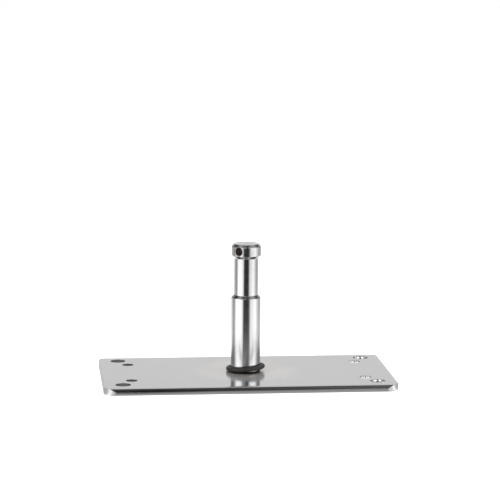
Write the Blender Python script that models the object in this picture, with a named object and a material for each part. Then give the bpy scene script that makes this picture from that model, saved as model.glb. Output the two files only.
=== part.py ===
"""Baby pin wall plate: a plated steel plate that screws to a wall and carries a 16 mm spigot.

The plate lies with its back, the side that meets the wall, at z = 0. Its long side runs along X and its
short side along Y. The spigot stands on the plate's front face along +Z, held by a countersunk screw from
the back. A rubber buffer ring lies loose round the spigot's foot. All sizes are in metres.
"""
import math

import bmesh
import bpy
from mathutils import Matrix

for old in list(bpy.data.objects):
    bpy.data.objects.remove(old, do_unlink=True)

# Gaps between pieces
SEAT_GAP = 0.0003          # between a piece and the face that it sits on
BORE_CLEARANCE = 0.0003    # round the screw's shank, in the plate and in the spigot
RING_CLEARANCE = 0.00015   # round the spigot, inside the tilted ring

# Plate
PLATE_LENGTH = 0.1565
PLATE_WIDTH = 0.080
PLATE_THICKNESS = 0.0038
PLATE_CORNER_RADIUS = 0.007
LONG_EDGE_RADIUS = 0.0024  # along the front of the two long sides
END_EDGE_RADIUS = 0.001    # along the front of the two ends
BACK_EDGE_RADIUS = 0.0004

# Fixing holes: each corner has a large one next to the corner and a small one further in
LARGE_HOLE_RADIUS = 0.004
LARGE_HOLE_FROM_END = 0.0105
LARGE_HOLE_FROM_SIDE = 0.010
SMALL_HOLE_RADIUS = 0.003
SMALL_HOLE_FROM_END = 0.0155
SMALL_HOLE_FROM_SIDE = 0.020
HOLE_EDGE_BREAK = 0.0003

# Spigot
PIN_RADIUS = 0.008
PIN_HEIGHT = 0.070         # above the plate's front face
HEAD_HEIGHT = 0.0063       # from the neck's cone to the top
WAIST_LENGTH = 0.020
WAIST_DEPTH = 0.0015       # a cone at 45 degrees leads out of the waist at each end
TOP_CHAMFER_WIDTH = 0.0012
TOP_CHAMFER_HEIGHT = 0.0015
FOOT_CHAMFER = 0.0003

# Safety hole across the spigot's head
CROSS_HOLE_RADIUS = 0.0021
CROSS_HOLE_BELOW_TOP = 0.0036
CROSS_HOLE_TURN = math.radians(53)       # from +X towards +Y
CROSS_HOLE_COUNTERSINK = 0.0005          # depth, below the head's outermost line

# Buffer ring
RING_SECTION_RADIUS = 0.0012
RING_TILT = math.radians(5.5)
RING_LOW_SIDE = math.radians(140)        # the side that touches the plate, from +X towards +Y

# Countersunk socket screw, M6 by 12
SCREW_RADIUS = 0.003
SCREW_LENGTH = 0.012                     # with its head
SCREW_HEAD_RADIUS = 0.006
SCREW_HEAD_RIM = 0.0003                  # straight edge below the head's 90 degree cone
SCREW_SUNK = 0.0002                      # how far the head lies inside the plate's back
SCREW_END_CHAMFER = 0.0006
SCREW_PLAIN_LENGTH = 0.0006              # between the head's cone and the first thread
THREAD_PITCH = 0.001
THREAD_DEPTH_PER_PITCH = 0.6134          # of a 60 degree metric thread
SOCKET_SIDES = 6
SOCKET_ACROSS_FLATS = 0.004
SOCKET_DEPTH = 0.0019
TAPPED_HOLE_SPARE = 0.0015               # free depth past the screw's end
DRILL_POINT_ANGLE = math.radians(118)

# Fineness of the round shapes
PIN_STEPS = 72
HOLE_STEPS = 32
CORNER_STEPS = 10
EDGE_STEPS = 5
RING_STEPS = 72
RING_SECTION_STEPS = 14
SCREW_STEPS = 24
THREAD_ROWS_PER_PITCH = 6

CUT_MARGIN = 0.001         # how far a cutter runs past the faces that it cuts
ROUND_MARGIN = 0.00002     # moves a round out a little, so that its cutter crosses both faces at an angle
WELD_DISTANCE = 0.000001
SMOOTH_BELOW = math.radians(30)

# Levels up the part
spigot_foot = PLATE_THICKNESS + SEAT_GAP
spigot_top = PLATE_THICKNESS + PIN_HEIGHT
waist_radius = PIN_RADIUS - WAIST_DEPTH
head_bottom = spigot_top - HEAD_HEIGHT
waist_top = head_bottom - WAIST_DEPTH
waist_bottom = waist_top - WAIST_LENGTH
body_top = waist_bottom - WAIST_DEPTH
screw_end = SCREW_SUNK + SCREW_LENGTH
screw_cone_bottom = SCREW_SUNK + SCREW_HEAD_RIM
screw_cone_top = screw_cone_bottom + SCREW_HEAD_RADIUS - SCREW_RADIUS
screw_bore_radius = SCREW_RADIUS + BORE_CLEARANCE


def material(name, colour, roughness, metallic):
    """One Principled finish."""
    finish = bpy.data.materials.new(name)
    finish.use_nodes = True
    shader = finish.node_tree.nodes["Principled BSDF"]
    shader.inputs["Base Color"].default_value = (*colour, 1.0)
    shader.inputs["Roughness"].default_value = roughness
    shader.inputs["Metallic"].default_value = metallic
    return finish


def finished(name, bm, finish=None):
    """Makes an object from a bmesh, with smooth round faces and sharp edges."""
    bmesh.ops.remove_doubles(bm, verts=bm.verts, dist=WELD_DISTANCE)
    bmesh.ops.recalc_face_normals(bm, faces=bm.faces)
    mesh = bpy.data.meshes.new(name)
    bm.to_mesh(mesh)
    bm.free()
    mesh.shade_smooth()
    mesh.set_sharp_from_angle(angle=SMOOTH_BELOW)
    if finish:
        mesh.materials.append(finish)
    piece = bpy.data.objects.new(name, mesh)
    bpy.context.scene.collection.objects.link(piece)
    return piece


def spun(bm, geometry, steps):
    """Turns a section a full turn about Z."""
    bmesh.ops.spin(bm, geom=geometry, cent=(0, 0, 0), axis=(0, 0, 1), dvec=(0, 0, 0), angle=math.tau,
                   steps=steps, use_merge=True, use_normal_flip=False, use_duplicate=False)


def add_turned(bm, profile, steps, place=Matrix()):
    """Adds a solid turned about Z from (radius, height) pairs that start and end on the axis."""
    before = set(bm.verts)
    points = [bm.verts.new((radius, 0.0, height)) for radius, height in profile]
    lines = [bm.edges.new(pair) for pair in zip(points, points[1:])]
    spun(bm, points + lines, steps)
    made = [vert for vert in bm.verts if vert not in before]
    bmesh.ops.transform(bm, matrix=place, verts=made)


def cut_with(piece, cutter):
    """Cuts a hidden cutter's shape out of a piece."""
    cutter.hide_render = True
    cutter.display_type = "WIRE"
    cut = piece.modifiers.new(cutter.name, "BOOLEAN")
    cut.operation = "DIFFERENCE"
    cut.solver = "EXACT"
    cut.object = cutter


# Plate


def add_waste(bm, radius, steps, length, place):
    """Adds what is cut off one edge of a block outside the edge's round, as a prism along its own Z.

    The block's edge lies along the prism's own Z axis, and the block is on its -X and -Y side.
    """
    centre = ROUND_MARGIN - radius
    outline = [(centre, CUT_MARGIN), (CUT_MARGIN, CUT_MARGIN), (CUT_MARGIN, centre)]
    for step in range(steps + 1):
        angle = step / steps * math.pi / 2
        outline.append((centre + radius * math.cos(angle), centre + radius * math.sin(angle)))
    reach = length / 2 + CUT_MARGIN
    corners = [bm.verts.new((x, y, -reach)) for x, y in outline]
    lifted = bmesh.ops.extrude_face_region(bm, geom=[bm.faces.new(corners)])
    top = [item for item in lifted["geom"] if isinstance(item, bmesh.types.BMVert)]
    bmesh.ops.translate(bm, verts=top, vec=(0, 0, 2 * reach))
    bmesh.ops.transform(bm, matrix=place, verts=corners + top)


def long_side_waste():
    """What is cut off the front edges of the two long sides."""
    bm = bmesh.new()
    for side in (-1, 1):
        turn = Matrix(((0, 0, 1), (side, 0, 0), (0, 1, 0))).to_4x4()
        edge = Matrix.Translation((0, side * PLATE_WIDTH / 2, PLATE_THICKNESS))
        add_waste(bm, LONG_EDGE_RADIUS, EDGE_STEPS, PLATE_LENGTH, edge @ turn)
    return finished("long_side_waste", bm)


def end_waste():
    """What is cut off the front edges of the two ends."""
    bm = bmesh.new()
    for side in (-1, 1):
        turn = Matrix(((side, 0, 0), (0, 0, 1), (0, 1, 0))).to_4x4()
        edge = Matrix.Translation((side * PLATE_LENGTH / 2, 0, PLATE_THICKNESS))
        add_waste(bm, END_EDGE_RADIUS, EDGE_STEPS, PLATE_WIDTH, edge @ turn)
    return finished("end_waste", bm)


def corner_waste():
    """What is ground off the four corners."""
    bm = bmesh.new()
    for side_x in (-1, 1):
        for side_y in (-1, 1):
            mirror = Matrix(((side_x, 0, 0), (0, side_y, 0), (0, 0, 1))).to_4x4()
            edge = Matrix.Translation((side_x * PLATE_LENGTH / 2, side_y * PLATE_WIDTH / 2, PLATE_THICKNESS / 2))
            add_waste(bm, PLATE_CORNER_RADIUS, CORNER_STEPS, PLATE_THICKNESS, edge @ mirror)
    return finished("corner_waste", bm)


def round_back_edges(bm):
    """Breaks the four edges of the block's back face."""
    edges = [edge for edge in bm.edges if all(abs(vert.co.z) < WELD_DISTANCE for vert in edge.verts)]
    bmesh.ops.bevel(bm, geom=edges, offset=BACK_EDGE_RADIUS, offset_type="OFFSET", affect="EDGES",
                    segments=EDGE_STEPS, profile=0.5, clamp_overlap=True, material=-1)


def fixing_holes():
    """Centre and radius of every fixing hole, mirrored into the four corners."""
    holes = []
    for radius, from_end, from_side in (
        (LARGE_HOLE_RADIUS, LARGE_HOLE_FROM_END, LARGE_HOLE_FROM_SIDE),
        (SMALL_HOLE_RADIUS, SMALL_HOLE_FROM_END, SMALL_HOLE_FROM_SIDE),
    ):
        for side_x in (-1, 1):
            for side_y in (-1, 1):
                holes.append((side_x * (PLATE_LENGTH / 2 - from_end),
                              side_y * (PLATE_WIDTH / 2 - from_side), radius))
    return holes


def hole_profile(radius):
    """A drill through the plate that also breaks both rims of its hole."""
    flare = radius + HOLE_EDGE_BREAK + CUT_MARGIN
    return [
        (0.0, -CUT_MARGIN),
        (flare, -CUT_MARGIN),
        (radius, HOLE_EDGE_BREAK),
        (radius, PLATE_THICKNESS - HOLE_EDGE_BREAK),
        (flare, PLATE_THICKNESS + CUT_MARGIN),
        (0.0, PLATE_THICKNESS + CUT_MARGIN),
    ]


def screw_hole_profile():
    """The plate's hole for the screw, countersunk from the back along the screw head's own cone."""
    mouth = SCREW_HEAD_RADIUS + SEAT_GAP + screw_cone_bottom
    return [
        (0.0, -CUT_MARGIN),
        (mouth + CUT_MARGIN, -CUT_MARGIN),
        (screw_bore_radius, mouth - screw_bore_radius),
        (screw_bore_radius, PLATE_THICKNESS + CUT_MARGIN),
        (0.0, PLATE_THICKNESS + CUT_MARGIN),
    ]


def make_plate(finish):
    """A slab with rounded long sides and ends, whose corners are then ground round and its holes drilled."""
    bm = bmesh.new()
    bmesh.ops.create_cube(bm, size=1.0)
    bmesh.ops.scale(bm, verts=bm.verts, vec=(PLATE_LENGTH, PLATE_WIDTH, PLATE_THICKNESS))
    bmesh.ops.translate(bm, verts=bm.verts, vec=(0, 0, PLATE_THICKNESS / 2))
    round_back_edges(bm)
    plate = finished("wall_plate", bm, finish)
    for waste in (long_side_waste(), end_waste(), corner_waste()):
        cut_with(plate, waste)

    drills = bmesh.new()
    for x, y, radius in fixing_holes():
        add_turned(drills, hole_profile(radius), HOLE_STEPS, Matrix.Translation((x, y, 0)))
    add_turned(drills, screw_hole_profile(), HOLE_STEPS)
    cut_with(plate, finished("plate_drills", drills))


# Spigot


def spigot_profile():
    """The spigot's half section: its tapped hole, its foot, then up the outside to the top."""
    bore_end = screw_end + TAPPED_HOLE_SPARE
    drill_point = screw_bore_radius / math.tan(DRILL_POINT_ANGLE / 2)
    return [
        (0.0, bore_end + drill_point),
        (screw_bore_radius, bore_end),
        (screw_bore_radius, spigot_foot + FOOT_CHAMFER),
        (screw_bore_radius + FOOT_CHAMFER, spigot_foot),
        (PIN_RADIUS - FOOT_CHAMFER, spigot_foot),
        (PIN_RADIUS, spigot_foot + FOOT_CHAMFER),
        (PIN_RADIUS, body_top),
        (waist_radius, waist_bottom),
        (waist_radius, waist_top),
        (PIN_RADIUS, head_bottom),
        (PIN_RADIUS, spigot_top - TOP_CHAMFER_HEIGHT),
        (PIN_RADIUS - TOP_CHAMFER_WIDTH, spigot_top),
        (0.0, spigot_top),
    ]


def cross_hole_profile():
    """A drill with a countersink at each end, along its own Z and centred on the spigot's axis."""
    reach = PIN_RADIUS + CUT_MARGIN
    flare = CROSS_HOLE_RADIUS + CROSS_HOLE_COUNTERSINK + CUT_MARGIN
    return [
        (0.0, -reach),
        (flare, -reach),
        (CROSS_HOLE_RADIUS, -PIN_RADIUS + CROSS_HOLE_COUNTERSINK),
        (CROSS_HOLE_RADIUS, PIN_RADIUS - CROSS_HOLE_COUNTERSINK),
        (flare, reach),
        (0.0, reach),
    ]


def make_spigot(finish):
    bm = bmesh.new()
    add_turned(bm, spigot_profile(), PIN_STEPS)
    spigot = finished("baby_pin", bm, finish)

    drill = bmesh.new()
    place = (Matrix.Translation((0, 0, spigot_top - CROSS_HOLE_BELOW_TOP))
             @ Matrix.Rotation(CROSS_HOLE_TURN, 4, "Z") @ Matrix.Rotation(math.pi / 2, 4, "Y"))
    add_turned(drill, cross_hole_profile(), HOLE_STEPS, place)
    cut_with(spigot, finished("cross_drill", drill))


# Buffer ring


def make_ring(finish):
    """A round rubber ring that leans on the spigot, with its low side down on the plate."""
    centre_radius = (PIN_RADIUS + RING_CLEARANCE + RING_SECTION_RADIUS) / math.cos(RING_TILT)
    bm = bmesh.new()
    upright = Matrix.Translation((centre_radius, 0, 0)) @ Matrix.Rotation(math.pi / 2, 4, "X")
    section = bmesh.ops.create_circle(bm, cap_ends=False, radius=RING_SECTION_RADIUS,
                                      segments=RING_SECTION_STEPS, matrix=upright)
    spun(bm, section["verts"] + bm.edges[:], RING_STEPS)
    ring = finished("buffer_ring", bm, finish)
    lift = RING_SECTION_RADIUS + centre_radius * math.sin(RING_TILT)
    ring.matrix_world = (Matrix.Translation((0, 0, PLATE_THICKNESS + SEAT_GAP + lift))
                         @ Matrix.Rotation(RING_LOW_SIDE, 4, "Z") @ Matrix.Rotation(RING_TILT, 4, "Y"))


# Screw


def thread_groove(fraction):
    """Depth of the groove, from 0 at the crest to 1 at the root, at a fraction of one pitch."""
    crest = 1 / 8
    root = 1 / 4
    flank = (1 - crest - root) / 2
    from_crest = fraction - crest
    if from_crest <= 0:
        return 0.0
    if from_crest < flank:
        return from_crest / flank
    if from_crest < flank + root:
        return 1.0
    return (1 - fraction) / flank


def threaded_rings(bottom, top):
    """Rings of points up the shank, whose radius follows the thread as it winds."""
    groove_depth = THREAD_DEPTH_PER_PITCH * THREAD_PITCH
    rows = max(2, round((top - bottom) / THREAD_PITCH * THREAD_ROWS_PER_PITCH))
    rings = []
    for row in range(rows + 1):
        height = bottom + (top - bottom) * row / rows
        run_out = min(1.0, min(row, rows - row) / THREAD_ROWS_PER_PITCH)
        ring = []
        for step in range(SCREW_STEPS):
            fraction = ((height - bottom) / THREAD_PITCH - step / SCREW_STEPS) % 1.0
            ring.append((SCREW_RADIUS - groove_depth * run_out * thread_groove(fraction), height))
        rings.append(ring)
    return rings


def plain_ring(radius, height):
    return [(radius, height)] * SCREW_STEPS


def make_screw(finish):
    """Rings of points stacked from the head's flat bottom to the chamfered end, and skinned."""
    rings = [plain_ring(SCREW_HEAD_RADIUS, SCREW_SUNK), plain_ring(SCREW_HEAD_RADIUS, screw_cone_bottom)]
    rings += [plain_ring(SCREW_RADIUS, screw_cone_top)]
    rings += threaded_rings(screw_cone_top + SCREW_PLAIN_LENGTH, screw_end - SCREW_END_CHAMFER)
    rings += [plain_ring(SCREW_RADIUS - SCREW_END_CHAMFER, screw_end)]
    bm = bmesh.new()
    rows = []
    for ring in rings:
        rows.append([])
        for step, (radius, height) in enumerate(ring):
            angle = step / SCREW_STEPS * math.tau
            rows[-1].append(bm.verts.new((radius * math.cos(angle), radius * math.sin(angle), height)))
    for lower, upper in zip(rows, rows[1:]):
        for step in range(SCREW_STEPS):
            after = (step + 1) % SCREW_STEPS
            bm.faces.new((lower[step], lower[after], upper[after], upper[step]))
    bm.faces.new(rows[0])
    bm.faces.new(rows[-1])
    screw = finished("pin_screw", bm, finish)

    key = bmesh.new()
    key_radius = SOCKET_ACROSS_FLATS / math.sqrt(3)
    place = Matrix.Translation((0, 0, SCREW_SUNK + (SOCKET_DEPTH - CUT_MARGIN) / 2))
    bmesh.ops.create_cone(key, cap_ends=True, segments=SOCKET_SIDES, radius1=key_radius, radius2=key_radius,
                          depth=SOCKET_DEPTH + CUT_MARGIN, matrix=place)
    cut_with(screw, finished("socket_key", key))


make_plate(material("polished_plate_steel", (0.60, 0.60, 0.605), 0.1, 1.0))
make_spigot(material("chromed_steel", (0.60, 0.60, 0.605), 0.06, 1.0))
make_ring(material("black_rubber", (0.028, 0.026, 0.025), 0.55, 0.0))
make_screw(material("zinc_plated_steel", (0.62, 0.62, 0.60), 0.28, 1.0))
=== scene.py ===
"""The baby pin wall plate as it is photographed: bright plated metal and a black rubber ring, on white.

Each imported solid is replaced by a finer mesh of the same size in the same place. Sizes are in metres. The
plate's back lies at z = 0, the pin stands along +Z, and the photograph looks along +Y.
"""

import math

import bmesh
import bpy
from mathutils import Matrix, Vector


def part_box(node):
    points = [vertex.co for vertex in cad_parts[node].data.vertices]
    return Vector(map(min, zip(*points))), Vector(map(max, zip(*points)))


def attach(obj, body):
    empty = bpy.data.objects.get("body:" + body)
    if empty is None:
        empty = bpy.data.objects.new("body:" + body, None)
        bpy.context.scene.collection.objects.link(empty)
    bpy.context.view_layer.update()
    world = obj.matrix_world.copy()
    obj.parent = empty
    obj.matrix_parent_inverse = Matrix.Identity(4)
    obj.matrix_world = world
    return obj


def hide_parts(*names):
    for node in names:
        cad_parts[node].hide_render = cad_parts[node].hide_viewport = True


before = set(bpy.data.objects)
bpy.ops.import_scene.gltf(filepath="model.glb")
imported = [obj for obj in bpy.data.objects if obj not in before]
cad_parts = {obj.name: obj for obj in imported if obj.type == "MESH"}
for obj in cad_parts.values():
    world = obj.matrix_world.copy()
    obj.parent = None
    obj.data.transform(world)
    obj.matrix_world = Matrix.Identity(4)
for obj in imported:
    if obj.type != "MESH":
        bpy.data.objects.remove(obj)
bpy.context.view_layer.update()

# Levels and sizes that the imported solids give
plate_low, plate_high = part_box("wall_plate")
pin_low, pin_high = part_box("baby_pin")
screw_low, screw_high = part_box("pin_screw")
PLATE_LENGTH = plate_high.x - plate_low.x
PLATE_WIDTH = plate_high.y - plate_low.y
PLATE_TOP = plate_high.z
PIN_RADIUS = pin_high.x
PIN_TOP = pin_high.z
SCREW_BOTTOM = screw_low.z
SCREW_END = screw_high.z
SCREW_HEAD_RADIUS = screw_high.x

# Plate
PLATE_CORNER_RADIUS = 0.007
LONG_EDGE_RADIUS = 0.0024
END_EDGE_RADIUS = 0.001
BACK_EDGE_RADIUS = 0.0004
LARGE_HOLE_RADIUS = 0.004
LARGE_HOLE_FROM_END = 0.0105
LARGE_HOLE_FROM_SIDE = 0.010
SMALL_HOLE_RADIUS = 0.003
SMALL_HOLE_FROM_END = 0.0155
SMALL_HOLE_FROM_SIDE = 0.020
HOLE_EDGE_BREAK = 0.0003
SCREW_HOLE_RADIUS = 0.0033
HAZE_RADIUS = 0.020
HAZE_FADE = 0.032

# Pin, downwards from its top
HEAD_HEIGHT = 0.0063
WAIST_LENGTH = 0.020
WAIST_DEPTH = 0.0015
TOP_CHAMFER_WIDTH = 0.0012
TOP_CHAMFER_HEIGHT = 0.0015
PIN_RIM_ROUNDING = 0.0002
CROSS_HOLE_RADIUS = 0.0021
CROSS_HOLE_BELOW_TOP = 0.0036
CROSS_HOLE_TURN = math.radians(53)
CROSS_HOLE_COUNTERSINK = 0.0005
TAPPED_HOLE_DEPTH = 0.0137
TAPPED_HOLE_RADIUS = 0.0033
# Painted shade: the dark band at the pin's foot, under the ring, reaches this high above the plate and fades
# out by the next
FOOT_SHADE_HEIGHT = 0.0010
FOOT_SHADE_FADE = 0.0013

# Ring
RING_SECTION_RADIUS = 0.0012
RING_CLEARANCE = 0.00015
RING_TILT = math.radians(5.5)
RING_LOW_SIDE = math.radians(140)

# Screw
SCREW_RADIUS = 0.003
SCREW_HEAD_RIM = 0.0003
SCREW_END_CHAMFER = 0.0006
SCREW_RIM_ROUNDING = 0.0001
SOCKET_ACROSS_FLATS = 0.004
SOCKET_DEPTH = 0.0019
SOCKET_SIDES = 6

# Looks: the two of a pair are what noise runs between
PLATING = (0.6, 0.6, 0.605)
PLATING_PATCHES = ((0.585, 0.585, 0.59, 1), (0.615, 0.615, 0.62, 1))
SHEET_ROUGHNESS = (0.07, 0.12)
HAZE_COLOUR = (0.605, 0.585, 0.572, 1)
HAZE_ROUGHNESS = 0.1
HAZE_METALLIC = 0.6
CHROME_ROUGHNESS = (0.14, 0.18)
DRILLED_COLOUR = (0.38, 0.345, 0.325, 1)
DRILLED_ROUGHNESS = 0.45
DRILLED_FADE = 0.0001
# Painted shade: the dark, dull band at the pin's foot stands in for the shade under the ring
FOOT_SHADE_COLOUR = (0.02, 0.018, 0.016, 1)
FOOT_SHADE_ROUGHNESS = 0.5
LATHE_RING_DEPTH = 0.0000004
RUBBER = ((0.028, 0.026, 0.0245, 1), (0.05, 0.047, 0.044, 1))
RUBBER_ROUGHNESS = (0.42, 0.6)
RUBBER_GRAIN_DEPTH = 0.00001
ZINC = ((0.58, 0.58, 0.55, 1), (0.66, 0.66, 0.65, 1))
ZINC_ROUGHNESS = (0.22, 0.36)
MOST_NOISE = (0.3, 0.7)
MOST_GRAIN = (0.35, 0.65)
MOST_DUST = (0.5, 0.75)

# Fineness
TURNED_STEPS = 256
HOLE_STEPS = 96
HOLE_RIM_STEPS = 6
CORNER_STEPS = 24
EDGE_STEPS = 10
RING_STEPS = 192
RING_SECTION_STEPS = 40
CUT_MARGIN = 0.001
ROUND_MARGIN = 0.00002
WELD = 0.0000005
SHARP_ANGLE = math.radians(32)
PLATE_SHARP_ANGLE = math.radians(12)
RIM_ANGLE = math.radians(20)


# Modelling


def turned(section, steps, place=Matrix()):
    """A body turned about Z from (radius, height) pairs that start and end on the axis."""
    bm = bmesh.new()
    points = [bm.verts.new((radius, 0.0, height)) for radius, height in section]
    lines = [bm.edges.new(pair) for pair in zip(points, points[1:])]
    bmesh.ops.spin(bm, geom=points + lines, cent=(0, 0, 0), axis=(0, 0, 1), dvec=(0, 0, 0), angle=math.tau,
                   steps=steps, use_merge=True, use_normal_flip=False, use_duplicate=False)
    bmesh.ops.remove_doubles(bm, verts=bm.verts, dist=WELD)
    bmesh.ops.transform(bm, matrix=place, verts=bm.verts)
    return bm


def bevel_edges(bm, edges, width, segments):
    bmesh.ops.bevel(bm, geom=edges, offset=width, offset_type="OFFSET", affect="EDGES", segments=segments,
                    profile=0.5, clamp_overlap=True, material=-1)


def soften_rims(bm, width, segments):
    """Rounds every rim of a turned body a little, as polishing does."""
    rims = [edge for edge in bm.edges if edge.is_manifold and edge.calc_face_angle() > RIM_ANGLE]
    bevel_edges(bm, rims, width, segments)


def as_object(name, bm):
    bmesh.ops.remove_doubles(bm, verts=bm.verts, dist=WELD)
    bmesh.ops.recalc_face_normals(bm, faces=bm.faces)
    mesh = bpy.data.meshes.new(name)
    bm.to_mesh(mesh)
    bm.free()
    made = bpy.data.objects.new(name, mesh)
    bpy.context.scene.collection.objects.link(made)
    return made


def cut(piece, *cutters):
    """Cuts the cutters' shapes out of a piece, and then removes the cutters."""
    for cutter in cutters:
        boolean = piece.modifiers.new(cutter.name, "BOOLEAN")
        boolean.operation = "DIFFERENCE"
        boolean.solver = "EXACT"
        boolean.object = cutter
    evaluated = piece.evaluated_get(bpy.context.evaluated_depsgraph_get())
    result = bpy.data.meshes.new_from_object(evaluated)
    piece.modifiers.clear()
    piece.data = result
    for cutter in cutters:
        bpy.data.objects.remove(cutter, do_unlink=True)


def finish_piece(piece, body, node, finish, sharp_angle=SHARP_ANGLE):
    """Shades a piece, gives it its finish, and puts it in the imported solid's place."""
    piece.data.shade_smooth()
    piece.data.set_sharp_from_angle(angle=sharp_angle)
    normals = piece.modifiers.new("flat_faces_first", "WEIGHTED_NORMAL")
    normals.keep_sharp = True
    normals.weight = 100
    piece.data.materials.clear()
    piece.data.materials.append(finish)
    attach(piece, body)
    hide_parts(node)


# Finishes


class Wiring:
    """Short ways to add the nodes of a material or of the world, and to join them."""

    def __init__(self, tree):
        self.tree = tree
        self.coordinates = tree.nodes.new("ShaderNodeTexCoord")

    def join(self, value, socket):
        if isinstance(value, bpy.types.NodeSocket):
            self.tree.links.new(value, socket)
        else:
            socket.default_value = value

    def add(self, kind, inputs, **settings):
        node = self.tree.nodes.new(kind)
        for name, value in settings.items():
            setattr(node, name, value)
        for name, value in inputs.items():
            self.join(value, node.inputs[name])
        return node

    def math(self, operation, first, second=0.0):
        return self.add("ShaderNodeMath", {0: first, 1: second}, operation=operation).outputs[0]

    def axes(self, vector):
        return self.add("ShaderNodeSeparateXYZ", {0: vector}).outputs

    def length(self, *parts):
        """The length of the vector that has these parts."""
        total = 0.0
        for part in parts:
            total = self.math("ADD", total, self.math("MULTIPLY", part, part))
        return self.math("SQRT", total)

    def noise(self, scale, detail, stretch=(1, 1, 1)):
        """Noise in the piece's own space, drawn out along the axes whose stretch is below 1."""
        place = self.coordinates.outputs["Object"]
        placed = self.add("ShaderNodeMapping", {"Vector": place, "Scale": stretch}).outputs[0]
        made = self.add("ShaderNodeTexNoise", {"Vector": placed, "Scale": scale, "Detail": detail})
        return made.outputs[0]

    def between(self, value, low, high, out_low, out_high, fade="LINEAR"):
        """Maps a value's range to another, held level past both ends."""
        limits = {"From Min": low, "From Max": high, "To Min": out_low, "To Max": out_high}
        mapped = self.add("ShaderNodeMapRange", {"Value": value, **limits}, interpolation_type=fade)
        return mapped.outputs[0]

    def blend(self, share, first, second):
        """The first value where the share is 0, and the second where it is 1."""
        change = self.math("SUBTRACT", second, first)
        return self.math("ADD", self.math("MULTIPLY", change, share), first)

    def colours(self, share, first, second):
        node = self.add("ShaderNodeMix", {}, data_type="RGBA")
        self.join(share, node.inputs["Factor"])
        self.join(first, node.inputs[6])
        self.join(second, node.inputs[7])
        return node.outputs[2]


class Finish(Wiring):
    """A Principled material for one of the pieces."""

    def __init__(self, name, colour, roughness, metallic):
        self.material = bpy.data.materials.new(name)
        self.material.use_nodes = True
        super().__init__(self.material.node_tree)
        self.shader = self.tree.nodes["Principled BSDF"]
        self.shader.inputs["Base Color"].default_value = (*colour, 1.0)
        self.shader.inputs["Roughness"].default_value = roughness
        self.shader.inputs["Metallic"].default_value = metallic

    def set(self, name, value):
        self.join(value, self.shader.inputs[name])

    def bump(self, height, depth):
        self.set("Normal", self.add("ShaderNodeBump", {"Height": height, "Distance": depth}).outputs[0])


def plated_plate():
    """Bright plated sheet: a mirror with fine grain along X, and a hazy patch round the pin's foot."""
    finish = Finish("bright_plated_sheet", PLATING, 0.1, 1.0)
    grain = finish.noise(400, 3, (0.12, 1, 1))
    patches = finish.noise(60, 2)
    x, y, height = finish.axes(finish.coordinates.outputs["Object"])[:3]
    haze = finish.between(finish.length(x, y), HAZE_RADIUS, HAZE_FADE, 1.0, 0.0, "SMOOTHSTEP")
    haze = finish.math("MULTIPLY", haze, finish.math("GREATER_THAN", height, PLATE_TOP / 2))
    dullness = finish.math("MULTIPLY", haze, HAZE_ROUGHNESS)
    smooth = finish.between(grain, *MOST_GRAIN, *SHEET_ROUGHNESS)
    finish.set("Roughness", finish.math("ADD", smooth, dullness))
    finish.set("Metallic", finish.blend(haze, 1.0, HAZE_METALLIC))
    plated = finish.colours(patches, *PLATING_PATCHES)
    finish.set("Base Color", finish.colours(haze, plated, HAZE_COLOUR))
    return finish.material


def chromed_pin():
    """Bright chrome with faint lathe rings, a dull unplated cross hole, and a dark band painted at the foot
    as the shade under the ring.
    """
    finish = Finish("bright_chrome", PLATING, 0.06, 1.0)
    x, y, height = finish.axes(finish.coordinates.outputs["Object"])[:3]
    round_pin = finish.add("ShaderNodeCombineXYZ", {0: finish.math("MULTIPLY", y, -1.0), 1: x})
    finish.set("Tangent", round_pin.outputs[0])
    # A dark band painted round the pin's foot: painted shade under the ring, not a mark on the chrome
    foot_shade = finish.between(height, PLATE_TOP + FOOT_SHADE_HEIGHT, PLATE_TOP + FOOT_SHADE_FADE, 1.0, 0.0)
    finish.set("Anisotropic", 0.9)
    finish.set("Anisotropic Rotation", 0.25)
    rings = finish.noise(900, 2, (0.05, 0.05, 1))
    cloud = finish.noise(250, 3)
    along_hole = finish.add("ShaderNodeMapping", {
        "Vector": finish.coordinates.outputs["Object"],
        "Location": (0, 0, PIN_TOP - CROSS_HOLE_BELOW_TOP),
        "Rotation": (0, 0, CROSS_HOLE_TURN),
    }, vector_type="TEXTURE")
    y, z = finish.axes(along_hole.outputs[0])[1:3]
    from_axis = finish.length(y, z)
    in_hole = finish.between(from_axis, CROSS_HOLE_RADIUS, CROSS_HOLE_RADIUS + DRILLED_FADE, 1.0, 0.0)
    rough = finish.blend(in_hole, finish.between(cloud, *MOST_NOISE, *CHROME_ROUGHNESS), DRILLED_ROUGHNESS)
    finish.set("Roughness", finish.blend(foot_shade, rough, FOOT_SHADE_ROUGHNESS))
    unshaded = finish.colours(in_hole, (*PLATING, 1), DRILLED_COLOUR)
    finish.set("Base Color", finish.colours(foot_shade, unshaded, FOOT_SHADE_COLOUR))
    finish.bump(rings, LATHE_RING_DEPTH)
    return finish.material


def black_rubber():
    """Matt moulded rubber with a fine grain and a little dust."""
    finish = Finish("moulded_black_rubber", (0.03, 0.028, 0.026), 0.5, 0.0)
    grain = finish.noise(2500, 3)
    dust = finish.noise(500, 4)
    dusty = finish.between(dust, *MOST_DUST, 0, 1)
    finish.set("Base Color", finish.colours(dusty, *RUBBER))
    finish.set("Roughness", finish.between(dust, *MOST_NOISE, *RUBBER_ROUGHNESS))
    finish.bump(grain, RUBBER_GRAIN_DEPTH)
    return finish.material


def zinc_plated():
    """Satin zinc plate, a little cloudy."""
    finish = Finish("satin_zinc_plate", (0.62, 0.62, 0.6), 0.28, 1.0)
    cloud = finish.noise(700, 4)
    finish.set("Roughness", finish.between(cloud, *MOST_NOISE, *ZINC_ROUGHNESS))
    finish.set("Base Color", finish.colours(cloud, *ZINC))
    return finish.material


# Pieces


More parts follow.
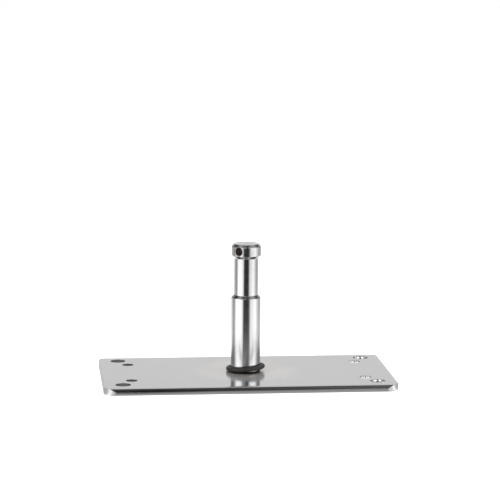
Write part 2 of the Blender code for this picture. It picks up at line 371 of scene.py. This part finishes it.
def drill(x, y, radius):
    """A drill through the plate that also breaks the back rim of its hole and rounds the front rim."""
    mouth = radius + HOLE_EDGE_BREAK + CUT_MARGIN
    section = [(0.0, -CUT_MARGIN), (mouth, -CUT_MARGIN), (radius, HOLE_EDGE_BREAK)]
    for step in range(HOLE_RIM_STEPS + 1):
        angle = step / HOLE_RIM_STEPS * math.pi / 2
        section.append((radius + HOLE_EDGE_BREAK * (1 - math.cos(angle)),
                        PLATE_TOP + ROUND_MARGIN - HOLE_EDGE_BREAK * (1 - math.sin(angle))))
    section += [(radius + HOLE_EDGE_BREAK, PLATE_TOP + CUT_MARGIN), (0.0, PLATE_TOP + CUT_MARGIN)]
    return as_object("drill", turned(section, HOLE_STEPS, Matrix.Translation((x, y, 0))))


def edge_waste(radius, steps, length, place):
    """What is cut off one edge of a block outside the edge's round.

    The block's edge lies along the waste's own Z axis, and the block is on its -X and -Y side.
    """
    centre = ROUND_MARGIN - radius
    reach = length / 2 + CUT_MARGIN
    bm = bmesh.new()
    bmesh.ops.spin(bm, geom=[bm.verts.new((ROUND_MARGIN, centre, -reach))], cent=(centre, centre, 0),
                   axis=(0, 0, 1), dvec=(0, 0, 0), angle=math.pi / 2, steps=steps, use_merge=False,
                   use_normal_flip=False, use_duplicate=False)
    for x, y in ((centre, CUT_MARGIN), (CUT_MARGIN, CUT_MARGIN), (CUT_MARGIN, centre)):
        bm.verts.new((x, y, -reach))
    lifted = bmesh.ops.extrude_face_region(bm, geom=[bm.faces.new(bm.verts)])
    top = [item for item in lifted["geom"] if isinstance(item, bmesh.types.BMVert)]
    bmesh.ops.translate(bm, verts=top, vec=(0, 0, 2 * reach))
    bmesh.ops.transform(bm, matrix=place, verts=bm.verts)
    return as_object("edge_waste", bm)


def plate_waste():
    """What is cut off the front edges of the long sides and ends, and then ground off the corners."""
    waste = []
    for side in (-1, 1):
        turn = Matrix(((0, 0, 1), (side, 0, 0), (0, 1, 0))).to_4x4()
        edge = Matrix.Translation((0, side * PLATE_WIDTH / 2, PLATE_TOP))
        waste.append(edge_waste(LONG_EDGE_RADIUS, EDGE_STEPS, PLATE_LENGTH, edge @ turn))
    for side in (-1, 1):
        turn = Matrix(((side, 0, 0), (0, 0, 1), (0, 1, 0))).to_4x4()
        edge = Matrix.Translation((side * PLATE_LENGTH / 2, 0, PLATE_TOP))
        waste.append(edge_waste(END_EDGE_RADIUS, EDGE_STEPS, PLATE_WIDTH, edge @ turn))
    for side_x in (-1, 1):
        for side_y in (-1, 1):
            mirror = Matrix.Diagonal((side_x, side_y, 1, 1))
            edge = Matrix.Translation((side_x * PLATE_LENGTH / 2, side_y * PLATE_WIDTH / 2, PLATE_TOP / 2))
            waste.append(edge_waste(PLATE_CORNER_RADIUS, CORNER_STEPS, PLATE_TOP, edge @ mirror))
    return waste


def make_plate():
    """A slab with rounded edges, ground corners, drilled holes and a countersink in its back."""
    bm = bmesh.new()
    bmesh.ops.create_cube(bm, size=1)
    bmesh.ops.scale(bm, verts=bm.verts, vec=(PLATE_LENGTH, PLATE_WIDTH, PLATE_TOP))
    bmesh.ops.translate(bm, verts=bm.verts, vec=(0, 0, PLATE_TOP / 2))
    rim = [edge for edge in bm.edges if all(abs(vert.co.z) < WELD for vert in edge.verts)]
    bevel_edges(bm, rim, BACK_EDGE_RADIUS, EDGE_STEPS)
    plate = as_object("plated_wall_plate", bm)
    cut(plate, *plate_waste())

    drills = []
    for radius, from_end, from_side in (
        (LARGE_HOLE_RADIUS, LARGE_HOLE_FROM_END, LARGE_HOLE_FROM_SIDE),
        (SMALL_HOLE_RADIUS, SMALL_HOLE_FROM_END, SMALL_HOLE_FROM_SIDE),
    ):
        for side_x in (-1, 1):
            for side_y in (-1, 1):
                x = side_x * (PLATE_LENGTH / 2 - from_end)
                y = side_y * (PLATE_WIDTH / 2 - from_side)
                drills.append(drill(x, y, radius))
    mouth = SCREW_HEAD_RADIUS + WELD + SCREW_BOTTOM + SCREW_HEAD_RIM
    drills.append(as_object("screw_drill", turned([
        (0.0, -CUT_MARGIN),
        (mouth + CUT_MARGIN, -CUT_MARGIN),
        (SCREW_HOLE_RADIUS, mouth - SCREW_HOLE_RADIUS),
        (SCREW_HOLE_RADIUS, PLATE_TOP + CUT_MARGIN),
        (0.0, PLATE_TOP + CUT_MARGIN),
    ], HOLE_STEPS)))
    cut(plate, *drills)
    finish_piece(plate, "plate_and_pin", "wall_plate", plated_plate(), PLATE_SHARP_ANGLE)


def make_pin():
    waist_radius = PIN_RADIUS - WAIST_DEPTH
    head_bottom = PIN_TOP - HEAD_HEIGHT
    waist_top = head_bottom - WAIST_DEPTH
    waist_bottom = waist_top - WAIST_LENGTH
    bore_end = PLATE_TOP + TAPPED_HOLE_DEPTH - SCREW_RADIUS
    bm = turned([
        (0.0, bore_end),
        (TAPPED_HOLE_RADIUS, bore_end - TAPPED_HOLE_RADIUS / 2),
        (TAPPED_HOLE_RADIUS, PLATE_TOP),
        (PIN_RADIUS, PLATE_TOP),
        (PIN_RADIUS, waist_bottom - WAIST_DEPTH),
        (waist_radius, waist_bottom),
        (waist_radius, waist_top),
        (PIN_RADIUS, head_bottom),
        (PIN_RADIUS, PIN_TOP - TOP_CHAMFER_HEIGHT),
        (PIN_RADIUS - TOP_CHAMFER_WIDTH, PIN_TOP),
        (0.0, PIN_TOP),
    ], TURNED_STEPS)
    soften_rims(bm, PIN_RIM_ROUNDING, 4)
    pin = as_object("chromed_baby_pin", bm)

    reach = PIN_RADIUS + CUT_MARGIN
    flare = CROSS_HOLE_RADIUS + CROSS_HOLE_COUNTERSINK + CUT_MARGIN
    place = (Matrix.Translation((0, 0, PIN_TOP - CROSS_HOLE_BELOW_TOP))
             @ Matrix.Rotation(CROSS_HOLE_TURN, 4, "Z") @ Matrix.Rotation(math.pi / 2, 4, "Y"))
    cut(pin, as_object("cross_drill", turned([
        (0.0, -reach),
        (flare, -reach),
        (CROSS_HOLE_RADIUS, -PIN_RADIUS + CROSS_HOLE_COUNTERSINK),
        (CROSS_HOLE_RADIUS, PIN_RADIUS - CROSS_HOLE_COUNTERSINK),
        (flare, reach),
        (0.0, reach),
    ], HOLE_STEPS, place)))
    finish_piece(pin, "plate_and_pin", "baby_pin", chromed_pin())


def make_ring():
    """A round rubber ring that leans on the pin, with its low side down on the plate."""
    centre_radius = (PIN_RADIUS + RING_CLEARANCE + RING_SECTION_RADIUS) / math.cos(RING_TILT)
    bm = bmesh.new()
    upright = Matrix.Translation((centre_radius, 0, 0)) @ Matrix.Rotation(math.pi / 2, 4, "X")
    bmesh.ops.create_circle(bm, cap_ends=False, radius=RING_SECTION_RADIUS, segments=RING_SECTION_STEPS,
                            matrix=upright)
    bmesh.ops.spin(bm, geom=bm.verts[:] + bm.edges[:], cent=(0, 0, 0), axis=(0, 0, 1), dvec=(0, 0, 0),
                   angle=math.tau, steps=RING_STEPS, use_merge=True, use_normal_flip=False,
                   use_duplicate=False)
    lift = RING_SECTION_RADIUS + centre_radius * math.sin(RING_TILT)
    lean = (Matrix.Translation((0, 0, PLATE_TOP + lift)) @ Matrix.Rotation(RING_LOW_SIDE, 4, "Z")
            @ Matrix.Rotation(RING_TILT, 4, "Y"))
    bmesh.ops.transform(bm, matrix=lean, verts=bm.verts)
    ring = as_object("rubber_buffer_ring", bm)
    finish_piece(ring, "ring", "buffer_ring", black_rubber())


def make_screw():
    """The countersunk screw in the plate's back, whose hexagon socket shows."""
    cone_bottom = SCREW_BOTTOM + SCREW_HEAD_RIM
    cone_top = cone_bottom + SCREW_HEAD_RADIUS - SCREW_RADIUS
    bm = turned([
        (0.0, SCREW_BOTTOM),
        (SCREW_HEAD_RADIUS, SCREW_BOTTOM),
        (SCREW_HEAD_RADIUS, cone_bottom),
        (SCREW_RADIUS, cone_top),
        (SCREW_RADIUS, SCREW_END - SCREW_END_CHAMFER),
        (SCREW_RADIUS - SCREW_END_CHAMFER, SCREW_END),
        (0.0, SCREW_END),
    ], HOLE_STEPS)
    soften_rims(bm, SCREW_RIM_ROUNDING, 3)
    screw = as_object("countersunk_pin_screw", bm)
    key = bmesh.new()
    key_radius = SOCKET_ACROSS_FLATS / math.sqrt(3)
    place = Matrix.Translation((0, 0, SCREW_BOTTOM + (SOCKET_DEPTH - CUT_MARGIN) / 2))
    bmesh.ops.create_cone(key, cap_ends=True, segments=SOCKET_SIDES, radius1=key_radius, radius2=key_radius,
                          depth=SOCKET_DEPTH + CUT_MARGIN, matrix=place)
    cut(screw, as_object("socket_key", key))
    finish_piece(screw, "plate_and_pin", "pin_screw", zinc_plated())


make_plate()
make_pin()
make_ring()
make_screw()


# Camera

CAMERA_PLACE = Vector((-0.12192, -1.15847, 0.25630))
CAMERA_YAW = 0.10655
CAMERA_PITCH = 0.15593
CAMERA_ROLL = -0.00776
CAMERA_LENS = 157.889


def make_camera():
    forward = Vector((math.sin(CAMERA_YAW) * math.cos(CAMERA_PITCH),
                      math.cos(CAMERA_YAW) * math.cos(CAMERA_PITCH), -math.sin(CAMERA_PITCH)))
    level = Vector((math.cos(CAMERA_YAW), -math.sin(CAMERA_YAW), 0))
    down = forward.cross(level)
    right = math.cos(CAMERA_ROLL) * level + math.sin(CAMERA_ROLL) * down
    down = math.cos(CAMERA_ROLL) * down - math.sin(CAMERA_ROLL) * level
    data = bpy.data.cameras.new("photo_camera")
    data.lens = CAMERA_LENS
    data.sensor_width = 36
    data.clip_start = 0.01
    data.clip_end = 50
    camera = bpy.data.objects.new("photo_camera", data)
    turn = Matrix((right, -down, -forward)).transposed().to_4x4()
    camera.matrix_world = Matrix.Translation(CAMERA_PLACE) @ turn
    bpy.context.scene.collection.objects.link(camera)
    bpy.context.scene.camera = camera


# Studio

# What metal sees round it, from the table upwards: degrees to the right of the camera, and brightness
TABLE = (
    (-180, 0.78), (-149, 0.78), (-127, 0.7), (-112, 0.45), (-100, 0.36), (-88, 0.95), (-78, 1.5), (-68, 1.7),
    (-58, 1.65), (-50, 1.5), (-42, 1.4), (-34, 1.2), (-26, 0.95), (-20, 0.35), (-16, 0.04), (-8, 0.025),
    (14, 0.025), (20, 0.05), (25, 0.2), (30, 0.5), (37, 0.95), (54, 1.12), (63, 1.25), (72, 1.42), (82, 1.3),
    (92, 0.98), (105, 0.7), (118, 0.55), (135, 0.58), (165, 0.74), (180, 0.78),
)
LOW_WALLS = (
    (-180, 0.81), (-168, 0.78), (-150, 0.35), (-127, 0.22), (-112, 0.25), (-100, 0.3), (-88, 0.95),
    (-78, 2.6), (-68, 3.3), (-50, 3.3), (-42, 3.0), (-34, 2.4), (-26, 1.4), (-20, 0.4), (-16, 0.1),
    (5, 0.1), (9.5, 0.02), (11.5, 0.1), (16, 0.22), (25, 0.4), (30, 1.1), (37, 2.4), (54, 3.0), (72, 3.1),
    (82, 2.4), (92, 1.1), (105, 0.5), (118, 0.32), (135, 0.35), (150, 0.45), (168, 0.78), (180, 0.81),
)
MIDDLE_WALLS = (
    (-180, 0.78), (-168, 0.75), (-150, 0.5), (-127, 0.35), (-112, 0.35), (-100, 0.5), (-88, 0.75),
    (-60, 0.8), (-22, 0.8), (-3, 0.7), (4.5, 0.5), (7.5, 0.01), (9.5, 0.0), (11.5, 0.04), (16, 0.12),
    (20, 0.25), (28, 0.75), (75, 0.8), (92, 0.75), (105, 0.5), (118, 0.35), (135, 0.4), (150, 0.5),
    (168, 0.75), (180, 0.78),
)
HIGH_WALLS = (
    (-180, 0.86), (-160, 0.82), (-145, 0.1), (-128, 0.04), (-108, 0.05), (-99, 0.2), (-88, 0.45), (-74, 0.6),
    (-60, 0.5), (-22, 0.42), (-3, 0.4), (4.5, 0.3), (7.5, 0.01), (10, 0.01), (13, 0.045), (15.5, 0.08),
    (21, 0.15), (30, 0.42), (62, 0.5), (80, 0.5), (95, 0.55), (105, 0.35), (118, 0.07), (138, 0.04),
    (150, 0.2), (163, 0.82), (180, 0.86),
)
STRONGEST = 3.3
OVERHEAD_FRONT = 0.08
OVERHEAD_BACK = 0.8

# Where one part of the surroundings passes into the next: the Z of the direction, and overhead its Y
LOW_TO_MIDDLE = (0.19, 0.25)
MIDDLE_TO_HIGH = (0.36, 0.56)
HIGH_TO_OVERHEAD = (0.88, 0.93)
OVERHEAD_FRONT_TO_BACK = (0.12, 0.19)

# What rough surfaces are lit by besides the lamps
AMBIENT = 0.5

# The table in front, by distance from the pin: it darkens away from the plate
FRONT_TABLE = ((0.04, 0.57), (0.045, 0.5), (0.073, 0.37), (0.099, 0.26), (0.114, 0.19), (0.129, 0.105),
               (0.145, 0.06), (0.18, 0.05), (0.22, 0.0))
FRONT_TABLE_REACH = 0.25

# The table close to the plate: in front of its left end and of the rest, by distance from the plate
LEFT_NEAR_TABLE = ((0.0, 0.62), (0.002, 0.6), (0.0035, 0.5), (0.005, 0.36), (0.007, 0.18), (0.009, 0.08),
                   (0.012, 0.05), (0.03, 0.05))
RIGHT_NEAR_TABLE = ((0.0, 0.56), (0.0035, 0.5), (0.0052, 0.43), (0.008, 0.35), (0.012, 0.26), (0.03, 0.2))
LEFT_NEAR_END = -0.055
RIGHT_NEAR_START = -0.02
NEAR_TABLE_REACH = 0.03
NEAR_TABLE_START = 0.021
NEAR_TABLE_END = 0.03

# The table close to the corners, by bearing: next to them, and a little further out
CORNER_TABLE = (
    (-180, 0.6), (-100, 0.55), (-85, 0.62), (-68, 0.78), (-59, 0.95), (-53, 1.35), (-40, 1.6), (-33, 1.4),
    (-26, 1.06), (-17, 0.82), (-7, 0.65), (2, 0.45), (6, 0.0), (14, 0.3), (17, 0.85), (30, 0.95), (45, 1.06),
    (52, 1.3), (58, 1.65), (64, 1.55), (71, 1.3), (77, 0.95), (86, 0.72), (95, 0.62), (110, 0.5), (180, 0.5),
)
OUTER_CORNER_TABLE = (
    (-180, 0.6), (-85, 0.7), (-64, 0.8), (-45, 0.72), (-20, 0.76), (-11, 0.6), (6, 0.05), (24, 0.65),
    (40, 1.05), (57, 1.2), (66, 1.1), (75, 0.9), (84, 0.75), (109, 0.65), (123, 0.55), (180, 0.55),
)
CORNER_TABLE_END = 0.014
OUTER_CORNER_START = 0.019

# The table under the plate, as its back and the walls of its holes show it. Pairs are dim and lit
UNDER_BACK = 0.75
UNDER_LEFT_HOLES = 0.35
UNDER_LARGE_HOLE = (0.5, 6.0)
UNDER_SMALL_HOLE = (0.6, 9.0)
BETWEEN_HOLES = 0.025
PLATE_EDGE_FADE = 0.001

# Where dim passes into lit beside a hole's middle line, and hole into back, in shares of the hole's radius
DIM_TO_LIT = (0.5, 0.6)
HOLE_TO_BACK = (1.15, 1.2)

# How much brighter the rest of the table is near the pin, by distance from it
NEAR_GLOW = 1.8
NEAR_GLOW_START = 0.06
NEAR_GLOW_END = 0.3

# The table's own look
TABLE_HALF_SIZE = 4
TABLE_BELOW_PLATE = 0.0001
TABLE_COLOUR = (0.8, 0.8, 0.8, 1)
TABLE_WHITENING = 0.7

# Where the lamps point
LAMP_AIM = (0, 0, 0.03)


def read_off(wiring, value, stops):
    """A brightness read off a list of (place from 0 to 1, brightness) stops."""
    ramp = wiring.add("ShaderNodeValToRGB", {"Fac": value})
    elements = ramp.color_ramp.elements
    for _ in stops[2:]:
        elements.new(0.5)
    for element, (place, brightness) in zip(elements, stops):
        element.position = place
        element.color = (*[brightness / STRONGEST] * 3, 1)
    return wiring.math("MULTIPLY", ramp.outputs[0], STRONGEST)


def round_table(wiring, direction, surroundings):
    """The brightness of the surroundings in a direction, by its angle about Z from the camera's side."""
    turned_round = wiring.add("ShaderNodeVectorRotate", {"Vector": direction, "Angle": CAMERA_YAW},
                              rotation_type="Z_AXIS")
    x, y = wiring.axes(turned_round.outputs[0])[:2]
    angle = wiring.math("ARCTAN2", x, wiring.math("MULTIPLY", y, -1.0))
    share = wiring.between(angle, -math.pi, math.pi, 0.0, 1.0)
    return read_off(wiring, share, [(degrees / 360 + 0.5, level) for degrees, level in surroundings])


def past_edge(wiring, place, edge):
    """How far a place lies past the edge on either side, with the sign of its side."""
    beyond = wiring.math("MAXIMUM", wiring.math("SUBTRACT", wiring.math("ABSOLUTE", place), edge), 0.0)
    return wiring.math("MULTIPLY", wiring.math("SIGN", place), beyond)


def make_world():
    """White to the camera, plain light on rough surfaces, and light and dark walls for metal."""
    world = bpy.data.worlds.new("white_studio")
    bpy.context.scene.world = world
    world.use_nodes = True
    wiring = Wiring(world.node_tree)
    background = world.node_tree.nodes["Background"]
    background.inputs["Color"].default_value = (1, 1, 1, 1)
    direction = wiring.coordinates.outputs["Generated"]
    backwards, rise = wiring.axes(direction)[1:3]
    low = round_table(wiring, direction, LOW_WALLS)
    middle = round_table(wiring, direction, MIDDLE_WALLS)
    high = round_table(wiring, direction, HIGH_WALLS)
    overhead = wiring.between(backwards, *OVERHEAD_FRONT_TO_BACK, OVERHEAD_FRONT, OVERHEAD_BACK)
    seen = wiring.blend(wiring.between(rise, *LOW_TO_MIDDLE, 0, 1, "SMOOTHSTEP"), low, middle)
    seen = wiring.blend(wiring.between(rise, *MIDDLE_TO_HIGH, 0, 1, "SMOOTHSTEP"), seen, high)
    seen = wiring.blend(wiring.between(rise, *HIGH_TO_OVERHEAD, 0, 1, "SMOOTHSTEP"), seen, overhead)
    path = wiring.add("ShaderNodeLightPath", {})
    lighting = wiring.blend(path.outputs["Is Glossy Ray"], AMBIENT, seen)
    wiring.join(wiring.blend(path.outputs["Is Camera Ray"], lighting, 1.0), background.inputs["Strength"])


def beside_plate(wiring, x, gap, outwards):
    """The table close to the plate: in front by distance, and round the corners mostly by bearing."""
    share = wiring.between(gap, 0.0, NEAR_TABLE_REACH, 0.0, 1.0)
    at_left, at_right = (
        read_off(wiring, share, [(reach / NEAR_TABLE_REACH, level) for reach, level in stops])
        for stops in (LEFT_NEAR_TABLE, RIGHT_NEAR_TABLE))
    in_front = wiring.blend(wiring.between(x, LEFT_NEAR_END, RIGHT_NEAR_START, 0, 1), at_left, at_right)
    corner = wiring.blend(wiring.between(gap, CORNER_TABLE_END, OUTER_CORNER_START, 0, 1),
                          round_table(wiring, outwards, CORNER_TABLE),
                          round_table(wiring, outwards, OUTER_CORNER_TABLE))
    return wiring.math("MAXIMUM", in_front, corner)


def under_plate(wiring, x, y):
    """The table under the plate: even, but dim in the left holes, and in the right ones lit at both sides."""
    across, along = wiring.math("ABSOLUTE", x), wiring.math("ABSOLUTE", y)
    large = wiring.math("GREATER_THAN", along, BETWEEN_HOLES)
    hole_x = [PLATE_LENGTH / 2 - from_end for from_end in (SMALL_HOLE_FROM_END, LARGE_HOLE_FROM_END)]
    hole_y = [PLATE_WIDTH / 2 - from_side for from_side in (SMALL_HOLE_FROM_SIDE, LARGE_HOLE_FROM_SIDE)]
    radius = wiring.blend(large, SMALL_HOLE_RADIUS, LARGE_HOLE_RADIUS)
    off_x = wiring.math("SUBTRACT", across, wiring.blend(large, *hole_x))
    off_y = wiring.math("SUBTRACT", along, wiring.blend(large, *hole_y))
    from_line = wiring.math("DIVIDE", wiring.math("ABSOLUTE", off_x), radius)
    from_middle = wiring.math("DIVIDE", wiring.length(off_x, off_y), radius)
    dim, bright = (wiring.blend(large, *levels) for levels in zip(UNDER_SMALL_HOLE, UNDER_LARGE_HOLE))
    lit = wiring.between(from_line, *DIM_TO_LIT, dim, bright)
    in_hole = wiring.blend(wiring.math("GREATER_THAN", x, 0.0), UNDER_LEFT_HOLES, lit)
    return wiring.blend(wiring.between(from_middle, *HOLE_TO_BACK, 0, 1), in_hole, UNDER_BACK)


def table_seen(wiring):
    """The brightness of the table as metal sees it: round the pin, close to the plate and under it."""
    place = wiring.coordinates.outputs["Object"]
    x, y = wiring.axes(place)[:2]
    far = wiring.length(x, y)
    share = wiring.between(far, 0.0, FRONT_TABLE_REACH, 0.0, 1.0)
    in_front = read_off(wiring, share, [(reach / FRONT_TABLE_REACH, level) for reach, level in FRONT_TABLE])
    nearer = wiring.between(far, NEAR_GLOW_START, NEAR_GLOW_END, NEAR_GLOW, 1.0)
    by_bearing = wiring.math("MULTIPLY", round_table(wiring, place, TABLE), nearer)
    around = wiring.math("MAXIMUM", by_bearing, in_front)
    past_end = past_edge(wiring, x, PLATE_LENGTH / 2 - PLATE_CORNER_RADIUS)
    past_side = past_edge(wiring, y, PLATE_WIDTH / 2 - PLATE_CORNER_RADIUS)
    outwards = wiring.add("ShaderNodeCombineXYZ", {0: past_end, 1: past_side}).outputs[0]
    gap = wiring.math("SUBTRACT", wiring.length(past_end, past_side), PLATE_CORNER_RADIUS)
    near = wiring.blend(wiring.between(gap, -PLATE_EDGE_FADE, 0.0, 0, 1), under_plate(wiring, x, y),
                        beside_plate(wiring, x, gap, outwards))
    clear = wiring.between(gap, NEAR_TABLE_START, NEAR_TABLE_END, 0, 1, "SMOOTHSTEP")
    return wiring.blend(clear, near, around)


def white_table():
    """White with the object's shadow to the camera, set by place for metal, and clear from below."""
    material = bpy.data.materials.new("white_table")
    material.use_nodes = True
    wiring = Wiring(material.node_tree)
    shader = material.node_tree.nodes["Principled BSDF"]
    shader.inputs["Base Color"].default_value = TABLE_COLOUR
    shader.inputs["Roughness"].default_value = 1
    shader.inputs["Specular IOR Level"].default_value = 0
    path = wiring.add("ShaderNodeLightPath", {})
    glossy = path.outputs["Is Glossy Ray"]
    white = wiring.math("MULTIPLY", path.outputs["Is Camera Ray"], TABLE_WHITENING)
    glow = wiring.add("ShaderNodeEmission", {"Strength": wiring.blend(glossy, white, table_seen(wiring))})
    lit = wiring.add("ShaderNodeMixShader", {0: glossy})
    wiring.join(shader.outputs[0], lit.inputs[1])
    total = wiring.add("ShaderNodeAddShader", {0: lit.outputs[0], 1: glow.outputs[0]})
    below = wiring.add("ShaderNodeNewGeometry", {}).outputs["Backfacing"]
    clear = wiring.add("ShaderNodeBsdfTransparent", {}).outputs[0]
    surface = wiring.add("ShaderNodeMixShader", {0: below, 1: total.outputs[0], 2: clear}).outputs[0]
    wiring.join(surface, material.node_tree.nodes["Material Output"].inputs["Surface"])
    return material


def make_floor():
    bm = bmesh.new()
    bmesh.ops.create_grid(bm, x_segments=1, y_segments=1, size=TABLE_HALF_SIZE)
    bmesh.ops.translate(bm, verts=bm.verts, vec=(0, 0, -TABLE_BELOW_PLATE))
    mesh = bpy.data.meshes.new("floor")
    bm.to_mesh(mesh)
    bm.free()
    mesh.materials.append(white_table())
    floor = bpy.data.objects.new("floor", mesh)
    bpy.context.scene.collection.objects.link(floor)


def add_lamp(name, place, size, power):
    """A soft lamp that faces the pin. Metal sees the surroundings instead of it."""
    data = bpy.data.lights.new(name, "AREA")
    data.shape = "DISK"
    data.size = size
    data.energy = power
    lamp = bpy.data.objects.new(name, data)
    lamp.location = place
    aim = Vector(LAMP_AIM) - Vector(place)
    lamp.rotation_euler = aim.to_track_quat("-Z", "Y").to_euler()
    lamp.visible_glossy = False
    bpy.context.scene.collection.objects.link(lamp)


make_camera()
make_world()
make_floor()
add_lamp("left_lamp", (-1.0, -0.7, 1.0), 0.8, 9)
add_lamp("right_lamp", (1.1, -0.5, 0.9), 0.8, 6)
add_lamp("top_lamp", (0.1, 0.4, 1.5), 1.0, 9)
bpy.context.scene.view_settings.view_transform = "Standard"
